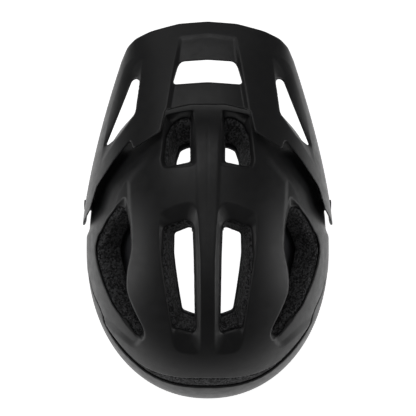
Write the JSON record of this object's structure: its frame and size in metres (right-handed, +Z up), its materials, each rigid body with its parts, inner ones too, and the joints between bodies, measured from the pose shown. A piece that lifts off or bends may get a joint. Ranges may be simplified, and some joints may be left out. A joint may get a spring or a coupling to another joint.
{
  "type": "cycling helmet",
  "caption": "Open-face trail cycling helmet with tilting visor, vented foam-lined shell, dial-adjusted cradle and buckled chin strap.",
  "frame": {"origin": "centre of the shell's widest level, where the head sits", "axes": "-Y to the front, +Z up, +X to the wearer's left, as worn"},
  "size_m": [0.22, 0.3194, 0.2636],
  "materials": {
    "shell": "matte, fine-grained, in-mould polycarbonate",
    "foam": "moulded bead foam",
    "visor": "matte moulded nylon",
    "slip": "thin satin sheet",
    "pad": "brushed wicking knit over soft foam",
    "webbing": "flat woven polyester webbing",
    "fitting": "textured acetal",
    "rubber": "soft-touch overmould",
    "elastomer": "satin elastomer",
    "insert": "turned, uncoated"
  },
  "bodies": {
    "helmet": {"outer_shell": "shell", "lower_shell": "shell", "eps_liner": "foam", "height_rail": "fitting", "chin_pad": "pad", "strap_keeper": "rubber", "buckle_socket": "fitting", "buckle_plug": "fitting", "slip_anchor_1": "elastomer", "slip_anchor_2": "elastomer", "slip_anchor_3": "elastomer", "slip_anchor_4": "elastomer", "visor_nut_left": "insert", "visor_washer_left": "fitting", "strap_plug_front_left": "fitting", "strap_plug_rear_left": "fitting", "ear_strap_front_left": "webbing", "ear_strap_rear_left": "webbing", "strap_divider_left": "fitting", "chin_strap_left": "webbing", "visor_nut_right": "insert", "visor_washer_right": "fitting", "strap_plug_front_right": "fitting", "strap_plug_rear_right": "fitting", "ear_strap_front_right": "webbing", "ear_strap_rear_right": "webbing", "strap_divider_right": "fitting", "chin_strap_right": "webbing"},
    "visor": {"visor": "visor"},
    "screw_left": {"visor_screw_left": "fitting"},
    "screw_right": {"visor_screw_right": "fitting"},
    "slip": {"slip_liner": "slip", "brow_pad": "pad", "crown_pad_front": "pad", "crown_pad_rear": "pad", "crown_pad_left": "pad", "crown_pad_right": "pad"},
    "cradle": {"cradle": "fitting", "rack_housing": "fitting", "nape_pad_left": "pad", "nape_pad_right": "pad"},
    "dial": {"dial_knob": "rubber", "dial_pinion": "fitting"},
    "band_left": {"fit_band_left": "fitting"},
    "band_right": {"fit_band_right": "fitting"},
    "lever_left": {"divider_lever_left": "fitting"},
    "lever_right": {"divider_lever_right": "fitting"},
    "prong_rear": {"buckle_prong_rear": "fitting"},
    "prong_front": {"buckle_prong_front": "fitting"}
  },
  "joints": [
    {"name": "visor_tilt", "type": "hinge", "parent": "helmet", "child": "visor", "pos_m": [0, -0.03663, 0.02005], "axis": [-1, 0, 0], "range_deg": [0, 20]},
    {"name": "visor_screw_left_turn", "type": "hinge", "parent": "helmet", "child": "screw_left", "pos_m": [0.105, -0.03663, 0.02005], "axis": [1, 0, 0], "range_deg": [-180, 180]},
    {"name": "visor_screw_right_turn", "type": "hinge", "parent": "helmet", "child": "screw_right", "pos_m": [-0.105, -0.03663, 0.02005], "axis": [1, 0, 0], "range_deg": [-180, 180]},
    {"name": "slip_turn", "type": "hinge", "parent": "helmet", "child": "slip", "pos_m": [0, 0, 0], "axis": [0, 0.2079, 0.9781], "range_deg": [-2.5, 2.5], "stiffness_Nm_per_rad": 0.6},
    {"name": "cradle_height", "type": "slide", "parent": "helmet", "child": "cradle", "axis": [0, 0, 1], "range_m": [-0.008, 0.006]},
    {"name": "dial_turn", "type": "hinge", "parent": "cradle", "child": "dial", "pos_m": [0, 0.088, -0.086], "axis": [0, -1, 0], "range_deg": [0, 110]},
    {"name": "band_left_draw", "type": "slide", "parent": "cradle", "child": "band_left", "axis": [-1, 0, 0], "range_m": [0, 0.0078]},
    {"name": "band_right_draw", "type": "slide", "parent": "cradle", "child": "band_right", "axis": [1, 0, 0], "range_m": [0, 0.0078]},
    {"name": "lever_left_flip", "type": "hinge", "parent": "helmet", "child": "lever_left", "pos_m": [0.0823, -0.004, -0.0924], "axis": [0, -1, 0], "range_deg": [0, 80]},
    {"name": "lever_right_flip", "type": "hinge", "parent": "helmet", "child": "lever_right", "pos_m": [-0.0823, -0.004, -0.0924], "axis": [0, 1, 0], "range_deg": [0, 80]},
    {"name": "prong_rear_squeeze", "type": "hinge", "parent": "helmet", "child": "prong_rear", "pos_m": [0.002, -0.0504, -0.1465], "axis": [0, 0, -1], "range_deg": [0, 14], "stiffness_Nm_per_rad": 0.02},
    {"name": "prong_front_squeeze", "type": "hinge", "parent": "helmet", "child": "prong_front", "pos_m": [0.002, -0.0636, -0.1465], "axis": [0, 0, 1], "range_deg": [0, 14], "stiffness_Nm_per_rad": 0.02}
  ],
  "couplings": [
    {"joint": "band_left_draw", "follows": "dial_turn", "m_per_rad": 0.004},
    {"joint": "band_right_draw", "follows": "dial_turn", "m_per_rad": 0.004}
  ]
}
